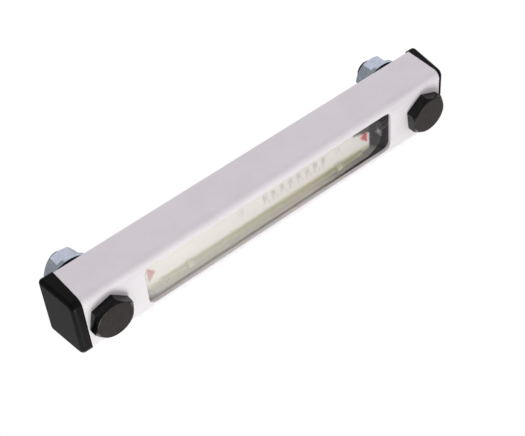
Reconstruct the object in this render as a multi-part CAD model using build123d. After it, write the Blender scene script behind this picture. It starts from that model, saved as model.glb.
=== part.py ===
from math import cos, radians, sin, tan
import os

from build123d import *

os.makedirs("parts", exist_ok=True)

# Millimetres. X across the gauge, +Y into the tank, +Z up. The tank wall's face is the plane Y = 0 and
# the origin is midway between the two bolts.

bolt_spacing = 200.0
bolt_to_end = 12.0  # from a bolt to the near end of the channel
bolt_to_window = 22.0
channel_width = 36.8
channel_depth = 23.2
sheet = 2.0
bend_radius = 4.1  # outside of the two bends
seal_stand = 6.8  # the tank seals stand this far out behind the channel
side_strip = 5.5  # of the channel's front, on each side of the window
window_corner = 4.0
seal_hole_r = 8.5  # the head seal sits in this hole of the channel

channel_length = bolt_spacing + 2 * bolt_to_end
channel_back = -seal_stand
channel_front = channel_back - channel_depth
window_length = bolt_spacing - 2 * bolt_to_window
window_width = channel_width - 2 * side_strip
bolt_z = bolt_spacing / 2
end_z = channel_length / 2

# sight body, of a clear front and a dark rear moulding that are welded together
body_side_gap = 0.2
body_end_gap = 1.2
body_back_gap = 0.6
front_depth = 14.0  # of the clear moulding
front_wall = 2.6
shoulder_drop = 12.0
chamber_lip = 0.4  # the window is wider than the chamber by this on each side
chamber_top_drop = 3.0
chamber_bottom_drop = 4.0
passage_r = 2.4
spigot_gap = 0.1
spigot_height = 2.0
body_edge = 0.8

body_front = channel_front + sheet
body_split = body_front + front_depth
body_back = channel_back - body_back_gap
boss_r = bolt_to_end - body_end_gap
body_shoulder_z = bolt_z - shoulder_drop
chamber_width = window_width - 2 * chamber_lip
chamber_top = window_length / 2 - chamber_top_drop
chamber_bottom = -window_length / 2 - chamber_bottom_drop
flow_y = body_front + 8.3  # level of the bolts' cross holes and of the passages to the chamber

# bolt: a hollow M12 screw with a low hexagon head
head_flats = 20.4
head_disc_r = 9.9
head_height = 5.9
head_chamfer_deg = 42.0
lower_head_turn = 44.0  # from +Z towards +X to the first corner
upper_head_turn = 23.0
shank_r = 5.7
thread_r = 6.0
pitch_r = 5.43
waist_r = 4.6
waist_length = 7.0
bolt_bore_r = 2.5
cross_hole_r = 2.2
thread_stand = 3.6  # of the bolt beyond its nut
bolt_end_chamfer = 1.0
bolt_clearance = 0.3

washer_r = 12.0
washer_hole_r = thread_r + 0.5
washer_thick = 2.5
washer_edge = 0.5
nut_flats = 18.0
nut_height = 8.2
nut_chamfer_deg = 30.0
nut_corner_turn = 0.0

bolt_hole_r = shank_r + bolt_clearance
bolt_end = washer_thick + nut_height + thread_stand

head_seal_outer_r = seal_hole_r - 0.1
tank_seal_r = boss_r - 0.8
tank_seal_recess = 2.2
tank_seal_edge = 0.6

plate_side_gap = 1.7
plate_top_gap = 6.6
plate_bottom_gap = 6.8
plate_thick = 1.0
plate_corner = 1.0
plate_width = chamber_width - 2 * plate_side_gap
plate_top = chamber_top - plate_top_gap
plate_bottom = chamber_bottom + plate_bottom_gap
plate_front = body_front + 5.6
pillar_width = 12.0
pillar_length = 8.0
pillar_inset = 11.0
pillar_at = (plate_bottom + pillar_inset, (plate_bottom + plate_top) / 2, plate_top - pillar_inset)

tube_inset = 1.9
tube_r = 1.2
tube_x = plate_width / 2 - tube_inset
tube_bottom = plate_bottom + 7.2
tube_top = plate_top - 6.4
capillary_r = 0.35
bulb_r = 0.8
bulb_length = 9.0
fluid_top = tube_top - 54.0
clip_length = 3.0
clip_wall = 0.5
clip_at = (tube_bottom + 18.0, tube_top - 16.0)

# end caps: the outer faces lean, and the lower cap stands higher than the upper one
lower_cap_rises = (5.5, 8.1)  # at the front and at the back
upper_cap_rises = (2.5, 5.5)
cap_overhang = 2.2  # behind the channel's back edge
cap_front_corner = 3.9
cap_back_corner = 2.8
cap_edge = 2.2
cap_end_wall = 1.6
cap_leg_thick = 2.6
cap_leg_length = 8.0
cap_leg_gap = 0.1
cap_leg_edge = 3.0
cap_wall = 2.6


def slab(sketch, back, front):
    """A sketch in X and Z, made solid from Y = back to Y = front."""
    plane = Plane((0, back, 0), x_dir=(1, 0, 0), z_dir=(0, -1, 0))
    return extrude(plane * sketch, back - front)


def turned(points):
    """Radius and Y points revolved about the Y axis."""
    return revolve(Plane.XY * Polygon(*points, align=None), Axis.Y)


def hexagon(flats, turn):
    corner = flats / 2 / cos(radians(30))
    angles = [radians(turn - 60 * k) for k in range(6)]
    return Polygon(*[(corner * sin(a), corner * cos(a)) for a in angles], align=None)


def stadium(width, low, high):
    straight = high - low - width
    middle = Pos(0, (low + high) / 2)
    ends = [Pos(0, low + width / 2) * Circle(width / 2), Pos(0, high - width / 2) * Circle(width / 2)]
    return middle * Rectangle(width, straight) + ends


def guard_channel():
    outer = Pos(0, (channel_front + channel_back) / 2) * Rectangle(channel_width, channel_depth)
    outer = fillet(outer.vertices().sort_by(Axis.Y)[:2], bend_radius)
    inside_front = channel_front + sheet
    inner_depth = channel_back - inside_front
    inner = Pos(0, inside_front + inner_depth / 2) * Rectangle(channel_width - 2 * sheet, inner_depth)
    inner = fillet(inner.vertices().sort_by(Axis.Y)[:2], bend_radius - sheet)
    channel = extrude(Plane.XY * (outer - inner), end_z, both=True)
    window = RectangleRounded(window_width, window_length, window_corner)
    holes = [Pos(0, z) * Circle(seal_hole_r) for z in (-bolt_z, bolt_z)]
    for cut in [window, *holes]:
        channel -= slab(cut, channel_front + sheet + 1, channel_front - 1)
    return channel


def cap_profile():
    back = channel_back + cap_overhang
    profile = Pos(0, (channel_front + back) / 2) * Rectangle(channel_width, back - channel_front)
    profile = fillet(profile.vertices().sort_by(Axis.Y)[:2], cap_front_corner)
    return fillet(profile.vertices().sort_by(Axis.Y)[-2:], cap_back_corner)


def end_cap(front_rise, back_rise):
    """A cap for the channel's upper end. Its outer face leans, so that it is thicker at the tank."""
    back = channel_back + cap_overhang
    side = [(channel_front, end_z), (back, end_z), (back, end_z + back_rise), (channel_front, end_z + front_rise)]
    wedge = extrude(Plane.YZ * Polygon(*side, align=None), channel_width, both=True)
    block = extrude(Pos(0, 0, end_z) * cap_profile(), 2 * back_rise) & wedge
    block = fillet(block.faces().sort_by(Axis.Z)[-1].edges(), cap_edge)
    # moulded hollow, with two legs that grip the channel's side walls
    inner_x = channel_width / 2 - sheet - cap_leg_gap
    pocket = front_rise - cap_end_wall
    pocket_x = 2 * (inner_x - cap_wall)
    pocket_y = channel_depth - sheet - 2 * cap_wall
    middle_y = channel_front + sheet + cap_wall + pocket_y / 2
    block -= Pos(0, middle_y, end_z + pocket / 2) * Box(pocket_x, pocket_y, pocket)
    leg_y = channel_depth - sheet - cap_leg_edge - 1
    for side in (-1, 1):
        leg = Box(cap_leg_thick, leg_y, cap_leg_length)
        leg = chamfer(leg.edges().filter_by(Axis.Y).group_by(Axis.Z)[0], 0.8)
        at_y = channel_front + sheet + cap_leg_edge + leg_y / 2
        block += Pos(side * (inner_x - cap_leg_thick / 2), at_y, end_z - cap_leg_length / 2) * leg
    return block


def body_outline():
    half = channel_width / 2 - sheet - body_side_gap
    bosses = [Pos(0, z) * Circle(boss_r) for z in (-bolt_z, bolt_z)]
    shape = Rectangle(2 * half, 2 * body_shoulder_z) + bosses
    return make_hull(shape.edges())


def sight_body():
    body = slab(body_outline(), body_split, body_front)
    front = body.edges().filter_by(lambda e: abs(e.center().Y - body_front) < 0.01)
    body = chamfer(front, bend_radius - sheet)
    body -= slab(stadium(chamber_width, chamber_bottom, chamber_top), body_split + 1, body_front + front_wall)
    for z, chamber_end in ((bolt_z, chamber_top - 3), (-bolt_z, chamber_bottom + 3)):
        body -= Pos(0, 0, z) * turned([(0, 0), (bolt_hole_r, 0), (bolt_hole_r, channel_front), (0, channel_front)])
        middle = Pos(0, flow_y, (z + chamber_end) / 2)
        body -= middle * Cylinder(passage_r, abs(z - chamber_end))
    return body


def rear_shell():
    shell = slab(body_outline(), body_back, body_split)
    back = shell.edges().filter_by(lambda e: abs(e.center().Y - body_back) < 0.01)
    shell = chamfer(back, body_edge)
    low = chamber_bottom + spigot_gap
    high = chamber_top - spigot_gap
    shell += slab(stadium(chamber_width - 2 * spigot_gap, low, high), body_split, body_split - spigot_height)
    plate_back = plate_front + plate_thick
    for z in pillar_at:
        pillar = Pos(0, z) * RectangleRounded(pillar_width, pillar_length, 1.5)
        shell += slab(pillar, body_split - spigot_height, plate_back)
    seat = body_back - tank_seal_recess
    for z in (-bolt_z, bolt_z):
        shell -= Pos(0, 0, z) * turned([(0, 0), (bolt_hole_r, 0), (bolt_hole_r, channel_front), (0, channel_front)])
        shell -= Pos(0, 0, z) * turned([(0, 0), (tank_seal_r, 0), (tank_seal_r, seat), (0, seat)])
    return shell


def scale_plate():
    plate = Pos(0, (plate_top + plate_bottom) / 2)
    plate *= RectangleRounded(plate_width, plate_top - plate_bottom, plate_corner)
    return slab(plate, plate_front + plate_thick, plate_front)


def along_tube(points):
    """Radius and Z points revolved about the tube's own axis."""
    shape = revolve(Plane.XZ * Polygon(*points, align=None), Axis.Z)
    return Pos(tube_x, plate_front - tube_r, 0) * shape


def bulb_points(top):
    low = tube_bottom + 1.5
    points = [(0, low), (bulb_r, low + bulb_r / 2), (bulb_r, low + bulb_length)]
    return points + [(capillary_r, low + bulb_length + 1), (capillary_r, top), (0, top)]


def temperature_tube():
    glass = [(0, tube_bottom), (tube_r - 0.5, tube_bottom), (tube_r, tube_bottom + 0.5)]
    glass += [(tube_r, tube_top - 0.5), (tube_r - 0.5, tube_top), (0, tube_top)]
    return along_tube(glass) - along_tube(bulb_points(tube_top - 3))


def tube_fluid():
    return along_tube(bulb_points(fluid_top))


def tube_clip(z):
    """A saddle over the tube, cemented to the plate on both sides of it."""
    outer_r = tube_r + clip_wall
    wide = Pos(tube_x, z) * Rectangle(2 * outer_r, clip_length)
    saddle = slab(wide, plate_front, plate_front - tube_r)
    hood = Pos(tube_x, plate_front - tube_r, z) * Cylinder(outer_r, clip_length)
    hood &= slab(wide, plate_front, plate_front - tube_r - outer_r)
    bore = Pos(tube_x, plate_front - tube_r, z) * Cylinder(tube_r, clip_length + 1)
    slot = Pos(tube_x, z) * Rectangle(2 * tube_r, clip_length + 1)
    room = slab(slot, plate_front, plate_front - tube_r)
    return saddle + hood - bore - room


def hollow_bolt(z, turn):
    top = channel_front - head_height
    head = slab(hexagon(head_flats, turn), channel_front, top)
    outside = 0.6 * head_flats  # just over the corners' radius
    drop = (outside - head_disc_r) * tan(radians(head_chamfer_deg))
    cone = [(0, channel_front + 1), (outside, channel_front + 1), (outside, top + drop)]
    head &= turned(cone + [(head_disc_r, top), (0, top)])
    nut_front = washer_thick
    nut_back = washer_thick + nut_height
    step = shank_r - waist_r
    low = flow_y - waist_length / 2
    high = flow_y + waist_length / 2
    points = [(0, channel_front), (shank_r, channel_front), (shank_r, low - step)]
    points += [(waist_r, low), (waist_r, high), (shank_r, high + step)]
    points += [(shank_r, nut_front), (pitch_r, nut_front), (pitch_r, nut_back), (thread_r, nut_back)]
    points += [(thread_r, bolt_end - bolt_end_chamfer), (thread_r - bolt_end_chamfer, bolt_end), (0, bolt_end)]
    bolt = head + turned(points)
    deep = flow_y - cross_hole_r - 0.6
    bolt -= turned([(0, bolt_end + 1), (bolt_bore_r, bolt_end + 1), (bolt_bore_r, deep), (0, deep - 1.5)])
    bolt -= Pos(0, flow_y, 0) * Cylinder(cross_hole_r, 30)
    return Pos(0, 0, z) * bolt


def head_seal(z):
    front = channel_front
    back = body_front
    points = [(shank_r, front), (head_seal_outer_r, front), (head_seal_outer_r, back), (shank_r, back)]
    return Pos(0, 0, z) * turned(points)


def tank_seal(z):
    seat = body_back - tank_seal_recess
    points = [(shank_r, seat), (tank_seal_r, seat), (tank_seal_r, -tank_seal_edge)]
    points += [(tank_seal_r - tank_seal_edge, 0), (shank_r, 0)]
    return Pos(0, 0, z) * turned(points)


def washer(z):
    rim = washer_r - washer_edge
    points = [(washer_hole_r, 0), (rim, 0), (washer_r, washer_edge)]
    points += [(washer_r, washer_thick - washer_edge), (rim, washer_thick), (washer_hole_r, washer_thick)]
    return Pos(0, 0, z) * turned(points)


def hex_nut(z):
    low = washer_thick
    high = washer_thick + nut_height
    face_r = nut_flats / 2 * 0.97
    outside = 0.6 * nut_flats  # just over the corners' radius
    rise = (outside - face_r) * tan(radians(nut_chamfer_deg))
    nut = slab(hexagon(nut_flats, nut_corner_turn), high, low)
    nut -= turned([(face_r, low - 1), (face_r, low), (outside, low + rise), (outside, low - 1)])
    nut -= turned([(face_r, high + 1), (face_r, high), (outside, high - rise), (outside, high + 1)])
    nut -= turned([(0, low - 1), (pitch_r, low - 1), (pitch_r, high + 1), (0, high + 1)])
    mouth = thread_r + 0.5
    fall = mouth - pitch_r
    nut -= turned([(0, high + 1), (mouth + 1, high + 1), (mouth, high), (pitch_r, high - fall), (0, high - fall)])
    return Pos(0, 0, z) * nut


pieces = {
    "guard_channel": guard_channel(),
    "lower_end_cap": mirror(end_cap(*lower_cap_rises), about=Plane.XY),
    "upper_end_cap": end_cap(*upper_cap_rises),
    "sight_body": sight_body(),
    "rear_shell": rear_shell(),
    "scale_plate": scale_plate(),
    "temperature_tube": temperature_tube(),
    "tube_fluid": tube_fluid(),
    "lower_tube_clip": tube_clip(clip_at[0]),
    "upper_tube_clip": tube_clip(clip_at[1]),
    "lower_bolt": hollow_bolt(-bolt_z, lower_head_turn),
    "upper_bolt": hollow_bolt(bolt_z, upper_head_turn),
    "lower_head_seal": head_seal(-bolt_z),
    "upper_head_seal": head_seal(bolt_z),
    "lower_tank_seal": tank_seal(-bolt_z),
    "upper_tank_seal": tank_seal(bolt_z),
    "lower_washer": washer(-bolt_z),
    "upper_washer": washer(bolt_z),
    "lower_nut": hex_nut(-bolt_z),
    "upper_nut": hex_nut(bolt_z),
}

for name, shape in pieces.items():
    export_step(shape, f"parts/{name}.step")
    box = shape.bounding_box()
    size = [round(v, 2) for v in (*box.min, *box.max)]
    print(name, len(shape.solids()), round(shape.volume), size)
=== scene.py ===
from math import cos, pi, radians, sin, tan

import bmesh
import bpy
from mathutils import Matrix, Vector


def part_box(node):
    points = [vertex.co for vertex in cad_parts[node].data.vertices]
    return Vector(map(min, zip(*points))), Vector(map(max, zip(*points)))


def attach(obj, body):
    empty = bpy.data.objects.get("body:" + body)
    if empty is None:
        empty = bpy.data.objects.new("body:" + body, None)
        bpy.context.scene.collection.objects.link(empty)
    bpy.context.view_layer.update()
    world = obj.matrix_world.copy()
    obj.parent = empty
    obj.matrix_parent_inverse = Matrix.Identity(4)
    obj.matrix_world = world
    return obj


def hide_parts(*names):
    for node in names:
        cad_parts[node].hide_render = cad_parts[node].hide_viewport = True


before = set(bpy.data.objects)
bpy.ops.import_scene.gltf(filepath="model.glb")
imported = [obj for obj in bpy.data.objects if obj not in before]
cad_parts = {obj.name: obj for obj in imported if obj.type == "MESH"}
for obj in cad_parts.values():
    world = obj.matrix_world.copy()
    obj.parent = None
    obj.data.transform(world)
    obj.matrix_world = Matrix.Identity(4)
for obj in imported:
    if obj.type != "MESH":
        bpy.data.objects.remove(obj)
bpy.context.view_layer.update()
mm = 0.001


# node helpers

def linear(hexColour):
    channels = [int(hexColour[i:i + 2], 16) / 255 for i in (1, 3, 5)]
    return [c / 12.92 if c <= 0.04045 else ((c + 0.055) / 1.055) ** 2.4 for c in channels] + [1.0]


def addNode(tree, kind, settings, links=None):
    # a setting is the value of a socket, a property of the node, or the stops of a colour ramp
    node = tree.nodes.new(kind)
    for key, value in settings.items():
        if key == "stops":
            for element, (place, colour) in zip(node.color_ramp.elements, value):
                element.position, element.color = place, linear(colour)
        elif isinstance(key, int) or key in node.inputs:
            node.inputs[key].default_value = value
        else:
            setattr(node, key, value)
    for socket, source in (links or {}).items():
        tree.links.new(source, node.inputs[socket])
    return node


def newMaterial(name, settings):
    material = bpy.data.materials.new(name)
    material.use_nodes = True
    tree = material.node_tree
    tree.nodes.clear()
    shader = addNode(tree, "ShaderNodeBsdfPrincipled", settings)
    addNode(tree, "ShaderNodeOutputMaterial", {}, {"Surface": shader.outputs["BSDF"]})
    coordinates = addNode(tree, "ShaderNodeTexCoord", {})
    # the texture space is in millimetres of the real part
    mapping = addNode(tree, "ShaderNodeMapping", {"Scale": (1 / mm, 1 / mm, 1 / mm)},
                      {"Vector": coordinates.outputs["Object"]})
    return material, tree, shader, mapping.outputs["Vector"]


def showSurface(tree, surface):
    output = next(n for n in tree.nodes if n.bl_idname == "ShaderNodeOutputMaterial")
    tree.links.new(surface, output.inputs["Surface"])


# a pattern is noise: its size in millimetres, its detail and its roughness
noiseMiddle = (0.3, 0.7)  # most of the noise lies between these
rangeSockets = ("From Min", "From Max", "To Min", "To Max")


def addPattern(tree, shader, vector, pattern, shades=(), edges=noiseMiddle, roughness=(),
               depthMm=0.0):
    # one noise, with the gloss and the grain that follow it; gives a colour for each pair of shades
    sizeMm, detail, fine = pattern
    noise = addNode(tree, "ShaderNodeTexNoise",
                    {"Scale": 1 / sizeMm, "Detail": detail, "Roughness": fine}, {"Vector": vector})
    height = noise.outputs["Fac"]
    if roughness:
        gloss = addNode(tree, "ShaderNodeMapRange",
                        dict(zip(rangeSockets, noiseMiddle + roughness)), {"Value": height})
        tree.links.new(gloss.outputs["Result"], shader.inputs["Roughness"])
    if depthMm:
        bump = addNode(tree, "ShaderNodeBump", {"Distance": depthMm * mm}, {"Height": height})
        tree.links.new(bump.outputs["Normal"], shader.inputs["Normal"])
    ramps = [addNode(tree, "ShaderNodeValToRGB", {"stops": tuple(zip(edges, pair))},
                     {"Fac": height}) for pair in shades]
    return [ramp.outputs["Color"] for ramp in ramps]


# materials, named after what the real part is made of

powderCoat = {"shades": ("#e7e3e6", "#ebe7ea"), "clouds": (14.0, 2.0, 0.5),
              "cloudEdges": (0.35, 0.65), "peel": (1.1, 2.0, 0.4), "peelDepthMm": 0.006,
              "roughness": (0.38, 0.47)}


def powderCoatedSteel():
    material, tree, shader, vector = newMaterial("powder-coated steel", {})
    colours = addPattern(tree, shader, vector, powderCoat["clouds"], [powderCoat["shades"]],
                         powderCoat["cloudEdges"])
    tree.links.new(colours[0], shader.inputs["Base Color"])
    # orange peel of about a millimetre, as on a baked powder coat
    addPattern(tree, shader, vector, powderCoat["peel"], roughness=powderCoat["roughness"],
               depthMm=powderCoat["peelDepthMm"])
    return material


polyamide = {"shades": ("#0b0a0a", "#100f0e"), "flow": (6.0, 3.0, 0.5), "specular": 0.09,
             "grain": (0.35, 3.0, 0.6), "grainDepthMm": 0.008, "roughness": (0.26, 0.4)}


def addMouldGrain(tree, shader, vector):
    # spark-eroded mould grain of a third of a millimetre
    addPattern(tree, shader, vector, polyamide["grain"], roughness=polyamide["roughness"],
               depthMm=polyamide["grainDepthMm"])


def mouldedPolyamide():
    settings = {"Specular IOR Level": polyamide["specular"]}
    material, tree, shader, vector = newMaterial("moulded polyamide", settings)
    colours = addPattern(tree, shader, vector, polyamide["flow"], [polyamide["shades"]])
    tree.links.new(colours[0], shader.inputs["Base Color"])
    addMouldGrain(tree, shader, vector)
    return material


# roughness, haze and frost change along the gauge: from a height, to a height, first and last value
clearBody = {"tint": "#fdfcfa", "ior": 1.53, "ripples": (9.0, 1.0, 0.5), "rippleDepthMm": 0.02,
             "roughness": (60.0, 70.0, 0.2, 0.09), "haze": (-60.0, 64.0, 0.2, 0.0),
             "frost": (24.0, 56.0, 0.88, 0.0), "frostX": 12.3, "frostY": -25.9,
             "hazeColour": "#f2f0ec"}


def letLightIn(tree, surface, tint):
    # shadow and diffuse rays go straight through, so that what lies behind is lit
    path = addNode(tree, "ShaderNodeLightPath", {})
    rays = {0: path.outputs["Is Shadow Ray"], 1: path.outputs["Is Diffuse Ray"]}
    either = addNode(tree, "ShaderNodeMath", {"operation": "MAXIMUM"}, rays)
    passing = addNode(tree, "ShaderNodeBsdfTransparent", {"Color": linear(tint)})
    mix = addNode(tree, "ShaderNodeMixShader", {},
                  {"Fac": either.outputs["Value"], 1: surface, 2: passing.outputs["BSDF"]})
    showSurface(tree, mix.outputs["Shader"])


def clearPolyamide():
    settings = {"Base Color": linear(clearBody["tint"]), "Transmission Weight": 1.0,
                "IOR": clearBody["ior"]}
    material, tree, shader, vector = newMaterial("clear polyamide", settings)
    # slow moulding ripples
    addPattern(tree, shader, vector, clearBody["ripples"], depthMm=clearBody["rippleDepthMm"])
    place = addNode(tree, "ShaderNodeSeparateXYZ", {}, {"Vector": vector})
    # its upper end is polished, its lower end a little milky
    along = {}
    for effect in ("roughness", "haze", "frost"):
        fade = addNode(tree, "ShaderNodeMapRange", dict(zip(rangeSockets, clearBody[effect])),
                       {"Value": place.outputs["Z"]})
        along[effect] = fade.outputs["Result"]
    tree.links.new(along["roughness"], shader.inputs["Roughness"])
    # the chamber's side walls are frosted
    across = addNode(tree, "ShaderNodeMath", {"operation": "ABSOLUTE"}, {0: place.outputs["X"]})
    beside = addNode(tree, "ShaderNodeMath", {"operation": "GREATER_THAN", 1: clearBody["frostX"]},
                     {0: across.outputs["Value"]})
    behind = addNode(tree, "ShaderNodeMath", {"operation": "GREATER_THAN", 1: clearBody["frostY"]},
                     {0: place.outputs["Y"]})
    side = addNode(tree, "ShaderNodeMath", {"operation": "MULTIPLY"},
                   {0: beside.outputs["Value"], 1: behind.outputs["Value"]})
    frost = addNode(tree, "ShaderNodeMath", {"operation": "MULTIPLY"},
                    {0: side.outputs["Value"], 1: along["frost"]})
    most = addNode(tree, "ShaderNodeMath", {"operation": "MAXIMUM"},
                   {0: along["haze"], 1: frost.outputs["Value"]})
    milk = addNode(tree, "ShaderNodeBsdfDiffuse", {"Color": linear(clearBody["hazeColour"])})
    hazy = addNode(tree, "ShaderNodeMixShader", {},
                   {"Fac": most.outputs["Value"], 1: shader.outputs["BSDF"],
                    2: milk.outputs["BSDF"]})
    letLightIn(tree, hazy.outputs["Shader"], clearBody["tint"])
    return material


rearShell = {"whites": ("#e5e2de", "#eeebe8"), "whiteTop": 52.0, "whiteBehind": -13.9,
             "edgeMm": 1.5}


def paintedPolyamide():
    settings = {"Specular IOR Level": polyamide["specular"]}
    name = "moulded polyamide, painted white in the chamber"
    material, tree, shader, vector = newMaterial(name, settings)
    black, white = addPattern(tree, shader, vector, polyamide["flow"],
                              [polyamide["shades"], rearShell["whites"]])
    place = addNode(tree, "ShaderNodeSeparateXYZ", {}, {"Vector": vector})
    # the paint fades out at its top and at its depth
    within = []
    half = rearShell["edgeMm"] / 2
    for axis, limit in (("Z", rearShell["whiteTop"]), ("Y", rearShell["whiteBehind"])):
        fadeOut = (limit - half, limit + half, 1.0, 0.0)
        fade = addNode(tree, "ShaderNodeMapRange", dict(zip(rangeSockets, fadeOut)),
                       {"Value": place.outputs[axis]})
        within.append(fade.outputs["Result"])
    painted = addNode(tree, "ShaderNodeMath", {"operation": "MULTIPLY"},
                      {0: within[0], 1: within[1]})
    colour = addNode(tree, "ShaderNodeMix", {"data_type": "RGBA"},
                     {"Factor": painted.outputs["Value"], 6: black, 7: white})
    tree.links.new(colour.outputs[2], shader.inputs["Base Color"])
    addMouldGrain(tree, shader, vector)
    return material


# the face shades hold the turned face's own colour and a painted sheen
boltFinish = {"shades": ("#090808", "#0f0e0d"), "faceSheenShades": ("#2d2a28", "#373230"),
              "faceFrom": -35.8, "patches": (3.0, 4.0, 0.5), "speck": (0.25, 3.0, 0.5),
              "speckDepthMm": 0.006, "roughness": (0.13, 0.26), "specular": 0.2}


def blackOxideSteel():
    settings = {"Specular IOR Level": boltFinish["specular"]}
    material, tree, shader, vector = newMaterial("black-oxide steel", settings)
    # the turned face of the head is painted paler than its flats: its own turned finish, with a
    # painted sheen on top
    flats, face = addPattern(tree, shader, vector, boltFinish["patches"],
                             [boltFinish["shades"], boltFinish["faceSheenShades"]])
    place = addNode(tree, "ShaderNodeSeparateXYZ", {}, {"Vector": vector})
    onFace = addNode(tree, "ShaderNodeMath", {"operation": "LESS_THAN", 1: boltFinish["faceFrom"]},
                     {0: place.outputs["Y"]})
    colour = addNode(tree, "ShaderNodeMix", {"data_type": "RGBA"},
                     {"Factor": onFace.outputs["Value"], 6: flats, 7: face})
    tree.links.new(colour.outputs[2], shader.inputs["Base Color"])
    addPattern(tree, shader, vector, boltFinish["speck"], roughness=boltFinish["roughness"],
               depthMm=boltFinish["speckDepthMm"])
    return material


zinc = {"shades": ("#b4bfcc", "#cdd6e2"), "crystals": (2.2, 4.0, 0.5),
        "roughness": (0.18, 0.32), "grain": (0.4, 2.0, 0.5), "grainDepthMm": 0.002}


def zincPlatedSteel():
    material, tree, shader, vector = newMaterial("zinc-plated steel", {"Metallic": 1.0})
    colours = addPattern(tree, shader, vector, zinc["crystals"], [zinc["shades"]],
                         roughness=zinc["roughness"])
    tree.links.new(colours[0], shader.inputs["Base Color"])
    addPattern(tree, shader, vector, zinc["grain"], depthMm=zinc["grainDepthMm"])
    return material


def evenFinish(name, finish):
    # one roughness all over, and a fine grain
    material, tree, shader, vector = newMaterial(name, {"Roughness": finish["roughness"]})
    colours = addPattern(tree, shader, vector, finish["grain"], [finish["shades"]],
                         depthMm=finish["grainDepthMm"])
    tree.links.new(colours[0], shader.inputs["Base Color"])
    return material


rubber = {"shades": ("#161616", "#1f1f1e"), "grain": (0.3, 3.0, 0.5), "grainDepthMm": 0.01,
          "roughness": 0.62}
enamel = {"shades": ("#edeae9", "#f4f0f0"), "grain": (0.8, 2.0, 0.5), "grainDepthMm": 0.004,
          "roughness": 0.45}
# the shades are each ink's own
ink = {"grain": (0.25, 2.0, 0.5), "grainDepthMm": 0.0, "roughness": 0.5}

tubeGlass = {"tint": "#f6f7e2", "ior": 1.47, "roughness": 0.03, "ripples": (4.0, 1.0, 0.5),
             "rippleDepthMm": 0.01}


def borosilicateGlass():
    settings = {"Base Color": linear(tubeGlass["tint"]), "Roughness": tubeGlass["roughness"],
                "Transmission Weight": 1.0, "IOR": tubeGlass["ior"]}
    material, tree, shader, vector = newMaterial("borosilicate glass", settings)
    addPattern(tree, shader, vector, tubeGlass["ripples"], depthMm=tubeGlass["rippleDepthMm"])
    letLightIn(tree, shader.outputs["BSDF"], tubeGlass["tint"])
    return material


clip = {"shades": ("#c0c49a", "#ccd0a6"), "flow": (1.5, 2.0, 0.5), "roughness": (0.35, 0.45)}


def naturalPolyamide():
    material, tree, shader, vector = newMaterial("natural polyamide", {})
    colours = addPattern(tree, shader, vector, clip["flow"], [clip["shades"]],
                         roughness=clip["roughness"])
    tree.links.new(colours[0], shader.inputs["Base Color"])
    return material


materials = {
    "powder": powderCoatedSteel(),
    "black": mouldedPolyamide(),
    "rear": paintedPolyamide(),
    "clear": clearPolyamide(),
    "bolt": blackOxideSteel(),
    "zinc": zincPlatedSteel(),
    "rubber": evenFinish("NBR rubber", rubber),
    "plate": evenFinish("white enamelled aluminium", enamel),
    "greyInk": evenFinish("grey printing ink", {**ink, "shades": ("#4a4945", "#55544f")}),
    # black ink used only for the painted shade at the plate's upper corner
    "paintedShadeInk": evenFinish("black ink for painted shade", {**ink, "shades": ("#22201e", "#2b2825")}),
    "redInk": evenFinish("red printing ink", {**ink, "shades": ("#b82a26", "#c8322c")}),
    "greenInk": evenFinish("yellow-green printing ink", {**ink, "shades": ("#dbdfa9", "#e3e7b4")}),
    "spirit": evenFinish("dyed spirit", {**ink, "shades": ("#d2d9a4", "#dde3b2")}),
    "glass": borosilicateGlass(),
    "clip": naturalPolyamide(),
}
print("materials made")


# piece helpers

mergeMm = 0.002
bevelSegments = 3


def finishPiece(name, bm, material, nodes=(), bevelMm=0.0, creaseDeg=35):
    bmesh.ops.remove_doubles(bm, verts=bm.verts, dist=mergeMm * mm)
    bmesh.ops.recalc_face_normals(bm, faces=bm.faces)
    mesh = bpy.data.meshes.new(name)
    bm.to_mesh(mesh)
    bm.free()
    for polygon in mesh.polygons:
        polygon.use_smooth = True
    mesh.materials.append(materials[material])
    piece = bpy.data.objects.new(name, mesh)
    bpy.context.scene.collection.objects.link(piece)
    if bevelMm:
        bevel = piece.modifiers.new("bevel", "BEVEL")
        bevel.width = bevelMm * mm
        bevel.segments = bevelSegments
        bevel.limit_method = "ANGLE"
        bevel.angle_limit = radians(creaseDeg)
        bevel.harden_normals = True
    else:
        mesh.set_sharp_from_angle(angle=radians(creaseDeg))
    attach(piece, "root")
    if nodes:
        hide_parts(*nodes)


def boxOf(node):
    low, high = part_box(node)
    return low / mm, high / mm


def centreOf(node):
    low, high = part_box(node)
    return (low + high) / 2 / mm


def lathe(bm, points, steps, centre):
    # radius and Y points, turned about the bolt's axis
    verts = [bm.verts.new(Vector((centre.x + r, y, centre.z)) * mm) for r, y in points]
    edges = [bm.edges.new(pair) for pair in zip(verts, verts[1:])]
    bmesh.ops.spin(bm, geom=verts + edges, cent=Vector((centre.x, 0, centre.z)) * mm,
                   axis=(0, 1, 0), angle=2 * pi, steps=steps, use_merge=True)


def addRing(bm, centre, radiusAt, heightAt, turnDeg=0.0, steps=96):
    # points round the bolt's axis: the radius follows the angle, and the height the radius
    verts = []
    for k in range(steps):
        angle = 2 * pi * k / steps
        r = radiusAt(angle)
        turned = angle + radians(turnDeg)
        point = Vector((centre.x + r * sin(turned), heightAt(r), centre.z + r * cos(turned)))
        verts.append(bm.verts.new(point * mm))
    return verts


def joinRings(bm, rings):
    for first, second in zip(rings, rings[1:]):
        for k in range(len(first)):
            n = (k + 1) % len(first)
            bm.faces.new((first[k], first[n], second[n], second[k]))


def hexagon(flats):
    # the radius of a hexagon at an angle, with a corner at angle nought
    return lambda angle: flats / 2 / cos((angle % radians(60)) - radians(30))


# guard channel: one skin folded round the front, given its sheet thickness by solidify

guard = {"sheet": 2.0, "bendRadius": 4.1, "bendSteps": 8, "windowLength": 156.0,
         "windowWidth": 25.8, "windowCorner": 4.0, "cornerSteps": 8, "boltHole": 8.5,
         "holeSteps": 48, "cutEdge": 0.28, "creaseDeg": 50}


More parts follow.
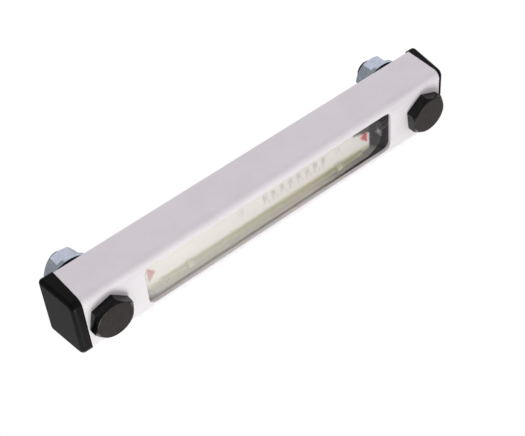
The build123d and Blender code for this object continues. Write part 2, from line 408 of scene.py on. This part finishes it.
def windowOutline():
    points = []
    corner = guard["windowCorner"]
    wide, tall = guard["windowWidth"] / 2 - corner, guard["windowLength"] / 2 - corner
    for k, (sx, sz) in enumerate(((1, 1), (-1, 1), (-1, -1), (1, -1))):
        for i in range(guard["cornerSteps"] + 1):
            angle = radians(90 * k + 90 * i / guard["cornerSteps"])
            points.append((sx * wide + corner * cos(angle), sz * tall + corner * sin(angle)))
    return points


def holeOutline(z):
    radius = guard["boltHole"]
    angles = [radians(360 * k / guard["holeSteps"]) for k in range(guard["holeSteps"])]
    return [(radius * cos(angle), z + radius * sin(angle)) for angle in angles]


def makeGuard():
    low, high = boxOf("guard_channel")
    boltZ = centreOf("upper_nut").z
    radius = guard["bendRadius"]
    flat = high.x - radius
    bm = bmesh.new()

    def loop(points):
        verts = [bm.verts.new(Vector((x, low.y, z)) * mm) for x, z in points]
        return [bm.edges.new(pair) for pair in zip(verts, verts[1:] + verts[:1])]

    outline = loop([(flat, high.z), (-flat, high.z), (-flat, low.z), (flat, low.z)])
    edges = outline + loop(windowOutline()) + loop(holeOutline(-boltZ)) + loop(holeOutline(boltZ))
    bmesh.ops.triangle_fill(bm, use_beauty=True, edges=edges)
    # both long edges run round the bend and down the side walls
    for side, edge in ((-1, outline[1]), (1, outline[3])):
        path = []
        for k in range(1, guard["bendSteps"] + 1):
            angle = radians(90 * k / guard["bendSteps"])
            bulge = flat + radius * sin(angle)
            path.append((side * bulge, low.y + radius * (1 - cos(angle))))
        path.append((side * high.x, high.y))
        for x, y in path:
            made = bmesh.ops.extrude_edge_only(bm, edges=[edge])["geom"]
            verts = [g for g in made if isinstance(g, bmesh.types.BMVert)]
            for v in verts:
                v.co.x, v.co.y = x * mm, y * mm
            edge = next(g for g in made
                        if isinstance(g, bmesh.types.BMEdge) and set(g.verts) == set(verts))
    bmesh.ops.recalc_face_normals(bm, faces=bm.faces)
    front = next(f for f in bm.faces if abs(f.calc_center_median().y - low.y * mm) < mergeMm * mm)
    if front.normal.y > 0:
        bmesh.ops.reverse_faces(bm, faces=bm.faces)
    bmesh.ops.solidify(bm, geom=bm.faces, thickness=guard["sheet"] * mm)
    finishPiece("guardChannel", bm, "powder", ["guard_channel"],
                guard["cutEdge"], guard["creaseDeg"])


makeGuard()
print("guard channel made")


# hollow bolts: a low hexagon head and a free threaded end

bolt = {"flats": 20.4, "discRadius": 9.9, "chamferDeg": 42.0, "headHeight": 5.9, "headEdge": 0.22,
        "creaseDeg": 20, "turnDeg": {"lower": 44.0, "upper": 23.0}, "shank": 5.7, "thread": 6.0,
        "pitch": 1.75, "threadDepth": 0.95, "threadInNut": 0.5, "crest": 0.12, "flank": 0.7,
        "stepsPerPitch": 12, "steps": 48, "endChamfer": 1.0, "bore": 2.5, "boreEdge": 0.3,
        "boreDepth": 34.0, "drillTip": 1.0}


def threadRadius(phase):
    # rounded trapezium from crest to root over one pitch
    wave = abs((phase % 1.0) * 2 - 1)
    depth = min(1.0, max(0.0, (wave - bolt["crest"]) / bolt["flank"]))
    return bolt["thread"] - bolt["threadDepth"] * depth


def addThread(bm, centre, fromY, toY):
    # rings a fraction of a pitch apart, chamfered at the far end
    rows = int((toY - fromY) / (bolt["pitch"] / bolt["stepsPerPitch"])) + 1
    rings = []
    for j in range(rows + 1):
        y = fromY + (toY - fromY) * j / rows
        widest = bolt["thread"] - max(0, bolt["endChamfer"] - (toY - y))

        def helix(angle):
            return min(threadRadius(y / bolt["pitch"] - angle / 2 / pi), widest)

        rings.append(addRing(bm, centre, helix, lambda r: y, steps=bolt["steps"]))
    joinRings(bm, rings)


def makeBoltHead(end, centre, top):
    turn = bolt["turnDeg"][end]
    slope = tan(radians(bolt["chamferDeg"]))
    corners = hexagon(bolt["flats"])
    bm = bmesh.new()
    discRadius = bolt["discRadius"]
    under = addRing(bm, centre, corners, lambda r: top + bolt["headHeight"], turn)
    shoulder = addRing(bm, centre, corners, lambda r: top + max(0, r - discRadius) * slope, turn)
    disc = addRing(bm, centre, lambda angle: discRadius, lambda r: top, turn)
    joinRings(bm, [under, shoulder, disc])
    for ring in (disc, under):
        bm.faces.new(ring)
    finishPiece(end + "BoltHead", bm, "bolt", [end + "_bolt"], bolt["headEdge"],
                bolt["creaseDeg"])


def makeBolt(end):
    low, high = boxOf(end + "_bolt")
    centre = centreOf(end + "_nut")
    makeBoltHead(end, centre, low.y)
    base = low.y + bolt["headHeight"]
    threadFrom = boxOf(end + "_nut")[1].y - bolt["threadInNut"]
    bm = bmesh.new()
    shank, root = bolt["shank"], bolt["thread"] - bolt["threadDepth"]
    waist = [(0, base), (shank, base), (shank, threadFrom), (root, threadFrom)]
    lathe(bm, waist, bolt["steps"], centre)
    addThread(bm, centre, threadFrom, high.y)
    rim, bore, edge = bolt["thread"] - bolt["endChamfer"], bolt["bore"], bolt["boreEdge"]
    bottom = high.y - bolt["boreDepth"]
    mouth = [(rim, high.y), (bore + edge, high.y), (bore, high.y - edge), (bore, bottom),
             (0, bottom - bolt["drillTip"])]
    lathe(bm, mouth, bolt["steps"], centre)
    finishPiece(end + "BoltShank", bm, "bolt")


for end in ("lower", "upper"):
    makeBolt(end)
print("bolts made")


# nuts and washers

nut = {"flats": 18.0, "faceRadius": 8.73, "chamferDeg": 30.0, "bore": 6.05, "mouth": 6.5,
       "mouthDepth": 0.6, "turnDeg": 0.0, "edge": 0.5, "creaseDeg": 20}
washer = {"outer": 12.0, "hole": 6.5, "holeEdge": 0.2, "edge": 0.45, "edgeSteps": 4, "steps": 96,
          "creaseDeg": 30}


def makeNut(end):
    low, high = boxOf(end + "_nut")
    centre = centreOf(end + "_nut")
    slope = tan(radians(nut["chamferDeg"]))
    corners = hexagon(nut["flats"])
    face, turn = nut["faceRadius"], nut["turnDeg"]
    bm = bmesh.new()
    front = addRing(bm, centre, lambda angle: face, lambda r: low.y, turn)
    frontEdge = addRing(bm, centre, corners, lambda r: low.y + max(0, r - face) * slope, turn)
    backEdge = addRing(bm, centre, corners, lambda r: high.y - max(0, r - face) * slope, turn)
    back = addRing(bm, centre, lambda angle: face, lambda r: high.y, turn)
    mouths = [addRing(bm, centre, lambda angle: nut["mouth"], lambda r: y) for y in (low.y, high.y)]
    joinRings(bm, [mouths[0], front, frontEdge, backEdge, back, mouths[1]])
    depth = nut["mouthDepth"]
    throat = [addRing(bm, centre, lambda angle: nut["bore"], lambda r: y)
              for y in (low.y + depth, high.y - depth)]
    joinRings(bm, [mouths[0], throat[0], throat[1], mouths[1]])
    finishPiece(end + "Nut", bm, "zinc", [end + "_nut"], nut["edge"],
                nut["creaseDeg"])


def makeWasher(end):
    low, high = boxOf(end + "_washer")
    outer, hole, edge = washer["outer"], washer["hole"], washer["edge"]
    holeEdge, steps = washer["holeEdge"], washer["edgeSteps"]
    section = [(hole, low.y + holeEdge), (hole + holeEdge, low.y), (outer - edge, low.y)]
    # the blanked edge is rounded on both faces
    quarter = [radians(90 * k / steps) for k in range(steps + 1)]
    section += [(outer - edge + edge * sin(a), low.y + edge * (1 - cos(a))) for a in quarter[1:]]
    section += [(outer - edge + edge * cos(a), high.y - edge + edge * sin(a)) for a in quarter]
    section += [(hole + holeEdge, high.y), (hole, high.y - holeEdge), (hole, low.y + holeEdge)]
    bm = bmesh.new()
    lathe(bm, section, washer["steps"], centreOf(end + "_washer"))
    finishPiece(end + "Washer", bm, "zinc", [end + "_washer"],
                creaseDeg=washer["creaseDeg"])


for end in ("lower", "upper"):
    makeNut(end)
    makeWasher(end)
print("nuts and washers made")


# scale, printed on the plate: figures, ticks, level marks, a stripe under the tube; and a dark
# corner, painted shade along the window's upper edge

scale = {"figures": ("20", "30", "40", "50", "60", "70", "80", "90"), "figureX": -1.6,
         "figureSize": 3.6, "firstZ": -1.3, "step": 5.45, "units": ((-16.4, "°C"), (46.9, "°C")),
         "inkLift": 0.03, "tickX": 3.4, "tickLength": 2.6, "halfTick": 0.6, "tickWidth": 0.35,
         "markX": 0.3, "markHeight": 4.8, "markWidth": 10.0, "upperMarkZ": 64.5,
         "lowerMarkZ": -71.0, "stripeWidth": 2.2, "stripeInset": 0.4,
         "paintedShadeEdge": [(-0.4, 68.4), (-1.6, 65.5), (-2.8, 62.0), (-4.2, 57.0)]}


def addInk(bm, y, points):
    bm.faces.new([bm.verts.new(Vector((x, y, z)) * mm) for x, z in points])


def addInkRectangle(bm, y, x, z, width, height):
    corners = ((-1, -1), (1, -1), (1, 1), (-1, 1))
    addInk(bm, y, [(x + sx * width / 2, z + sz * height / 2) for sx, sz in corners])


def addFigure(bm, y, z, text):
    curve = bpy.data.curves.new("figure", "FONT")
    curve.body = text
    curve.size = scale["figureSize"] * mm
    curve.align_x = "CENTER"
    curve.align_y = "CENTER"
    holder = bpy.data.objects.new("figure", curve)
    bpy.context.scene.collection.objects.link(holder)
    bpy.context.view_layer.update()
    depsgraph = bpy.context.evaluated_depsgraph_get()
    mesh = bpy.data.meshes.new_from_object(holder.evaluated_get(depsgraph))
    place = Vector((scale["figureX"], y, z)) * mm
    mesh.transform(Matrix.Translation(place) @ Matrix.Rotation(radians(90), 4, "X"))
    bm.from_mesh(mesh)
    bpy.data.objects.remove(holder)


def makePrint(y):
    bm = bmesh.new()
    heights = [scale["firstZ"] + k * scale["step"] for k in range(len(scale["figures"]))]
    for z, text in (*zip(heights, scale["figures"]), *scale["units"]):
        addFigure(bm, y, z, text)
    for k in range(2 * len(scale["figures"]) - 1):
        length = scale["tickLength"] * (scale["halfTick"] if k % 2 else 1.0)
        z = scale["firstZ"] + k * scale["step"] / 2
        addInkRectangle(bm, y, scale["tickX"] - length / 2, z, length, scale["tickWidth"])
    finishPiece("scalePrint", bm, "greyInk")


def makeLevelMarks(y):
    bm = bmesh.new()
    wide, tall = scale["markWidth"] / 2, scale["markHeight"] / 2
    for z, way in ((scale["upperMarkZ"], -1), (scale["lowerMarkZ"], 1)):
        corners = ((-wide, -way * tall), (wide, -way * tall), (0, way * tall))
        addInk(bm, y, [(scale["markX"] + dx, z + dz) for dx, dz in corners])
    finishPiece("levelMarks", bm, "redInk")


# a black wedge at the plate's upper corner: painted shade where the window's upper edge shades the
# plate
def makePaintedShadeCorner(y, low, high):
    bm = bmesh.new()
    addInk(bm, y, [(low.x, high.z), *scale["paintedShadeEdge"], (low.x, scale["paintedShadeEdge"][-1][1])])
    finishPiece("paintedShadeCorner", bm, "paintedShadeInk")


def makeTubeStripe(y, low, high):
    bm = bmesh.new()
    length = high.z - low.z - 2 * scale["stripeInset"]
    addInkRectangle(bm, y, centreOf("temperature_tube").x, (low.z + high.z) / 2,
                    scale["stripeWidth"], length)
    finishPiece("tubeStripe", bm, "greenInk")


plateLow, plateHigh = boxOf("scale_plate")
inkY = plateLow.y - scale["inkLift"]
makePrint(inkY)
makeLevelMarks(inkY)
makePaintedShadeCorner(inkY, plateLow, plateHigh)
makeTubeStripe(inkY, plateLow, plateHigh)
print("scale printed")


# finishes of the CAD solids that show as they are

carried = {
    "black": ("lower_end_cap", "upper_end_cap"),
    "clear": ("sight_body",),
    "rear": ("rear_shell",),
    "plate": ("scale_plate",),
    "glass": ("temperature_tube",),
    "spirit": ("tube_fluid",),
    "clip": ("lower_tube_clip", "upper_tube_clip"),
    "rubber": ("lower_head_seal", "upper_head_seal", "lower_tank_seal", "upper_tank_seal"),
}
for finish, nodes in carried.items():
    for node in nodes:
        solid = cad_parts[node]
        solid.data.materials.clear()
        solid.data.materials.append(materials[finish])
print("CAD solids finished")


# stage: a pale floor well under the gauge, which hangs on its tank wall

# for each ray, the strength of a flat white and how much of the surface it takes
stage = {"floorZ": -1.0, "floorSize": 60.0, "floorCells": 8, "floorColour": "#f4f4f3",
         "roughness": 0.9, "seen": {"Is Glossy Ray": (0.4, 1.0), "Is Camera Ray": (1.0, 0.8)}}


def paleFloor():
    settings = {"Base Color": linear(stage["floorColour"]), "Roughness": stage["roughness"]}
    material, tree, shader, vector = newMaterial("pale floor", settings)
    # nearly white to the camera, and dimmer where it is mirrored, so that bright facets stand out
    path = addNode(tree, "ShaderNodeLightPath", {})
    surface = shader.outputs["BSDF"]
    for ray, (strength, share) in stage["seen"].items():
        flat = addNode(tree, "ShaderNodeEmission", {"Strength": strength})
        part = addNode(tree, "ShaderNodeMath", {"operation": "MULTIPLY", 1: share},
                       {0: path.outputs[ray]})
        mix = addNode(tree, "ShaderNodeMixShader", {},
                      {"Fac": part.outputs["Value"], 1: surface, 2: flat.outputs["Emission"]})
        surface = mix.outputs["Shader"]
    showSurface(tree, surface)
    return material


def makeFloor():
    bm = bmesh.new()
    bmesh.ops.create_grid(bm, x_segments=stage["floorCells"], y_segments=stage["floorCells"],
                          size=stage["floorSize"] / 2)
    mesh = bpy.data.meshes.new("floor")
    bm.to_mesh(mesh)
    bm.free()
    mesh.materials.append(paleFloor())
    floor = bpy.data.objects.new("floor", mesh)
    floor.location.z = stage["floorZ"]
    bpy.context.scene.collection.objects.link(floor)


makeFloor()


# light: a white room that is dimmer towards the floor, and three soft boxes that point at the gauge

light = {"room": (0.3, 0.93), "roomTint": "#fdf9fe", "brightTowards": (-0.85, 0.35, 0.4),
         "boxTint": "#fbfff9",
         "boxes": {"keyBox": {"power": 3.6, "size": (0.34, 0.34), "place": (0.42, -0.7, -0.17)},
                   "stripBox": {"power": 0.2, "size": (0.05, 0.5), "place": (0.2, -0.06, 0.0)},
                   "rimBox": {"power": 0.02, "size": (0.4, 0.4), "place": (0.55, 0.35, -0.4)}}}


def addSoftBox(name, settings):
    data = bpy.data.lights.new(name, "AREA")
    data.energy = settings["power"]
    data.color = linear(light["boxTint"])[:3]
    data.shape = "RECTANGLE"
    data.size, data.size_y = settings["size"]
    lamp = bpy.data.objects.new(name, data)
    lamp.location = settings["place"]
    lamp.rotation_euler = (-Vector(settings["place"])).to_track_quat("-Z", "Y").to_euler()
    bpy.context.scene.collection.objects.link(lamp)


def makeRoom():
    world = bpy.data.worlds.new("white room")
    world.use_nodes = True
    tree = world.node_tree
    tree.nodes.clear()
    # a direction in the room is compared with the direction that is brightest
    coordinates = addNode(tree, "ShaderNodeTexCoord", {})
    towards = addNode(tree, "ShaderNodeVectorMath",
                      {"operation": "DOT_PRODUCT", 1: Vector(light["brightTowards"]).normalized()},
                      {0: coordinates.outputs["Generated"]})
    strength = addNode(tree, "ShaderNodeMapRange",
                       dict(zip(rangeSockets, (-1, 1) + light["room"])),
                       {"Value": towards.outputs["Value"]})
    room = addNode(tree, "ShaderNodeBackground", {"Color": linear(light["roomTint"])},
                   {"Strength": strength.outputs["Result"]})
    seen = addNode(tree, "ShaderNodeBackground", {"Color": (1, 1, 1, 1), "Strength": 1.0})
    path = addNode(tree, "ShaderNodeLightPath", {})
    mix = addNode(tree, "ShaderNodeMixShader", {},
                  {"Fac": path.outputs["Is Camera Ray"], 1: room.outputs["Background"],
                   2: seen.outputs["Background"]})
    addNode(tree, "ShaderNodeOutputWorld", {}, {"Surface": mix.outputs["Shader"]})
    bpy.context.scene.world = world


makeRoom()
for name, settings in light["boxes"].items():
    addSoftBox(name, settings)
bpy.context.scene.view_settings.view_transform = "Standard"


# camera: where it stands, and which way its right, its up and its back point in the gauge's frame

camera = {"place": (-0.47943, -0.38884, -0.26478), "lensMm": 91.2, "sensorMm": 36,
          "near": 0.01, "far": 50,
          "right": (0.06155, -0.63414, 0.77076), "up": (-0.67185, 0.54476, 0.50185),
          "back": (-0.73812, -0.54873, -0.39252)}


def makeCamera():
    data = bpy.data.cameras.new("camera")
    data.lens = camera["lensMm"]
    data.sensor_width = camera["sensorMm"]
    data.clip_start, data.clip_end = camera["near"], camera["far"]
    view = bpy.data.objects.new("camera", data)
    turn = Matrix((camera["right"], camera["up"], camera["back"])).transposed().to_4x4()
    view.matrix_world = Matrix.Translation(camera["place"]) @ turn
    bpy.context.scene.collection.objects.link(view)
    bpy.context.scene.camera = view


makeCamera()
print("stage, light and camera set")
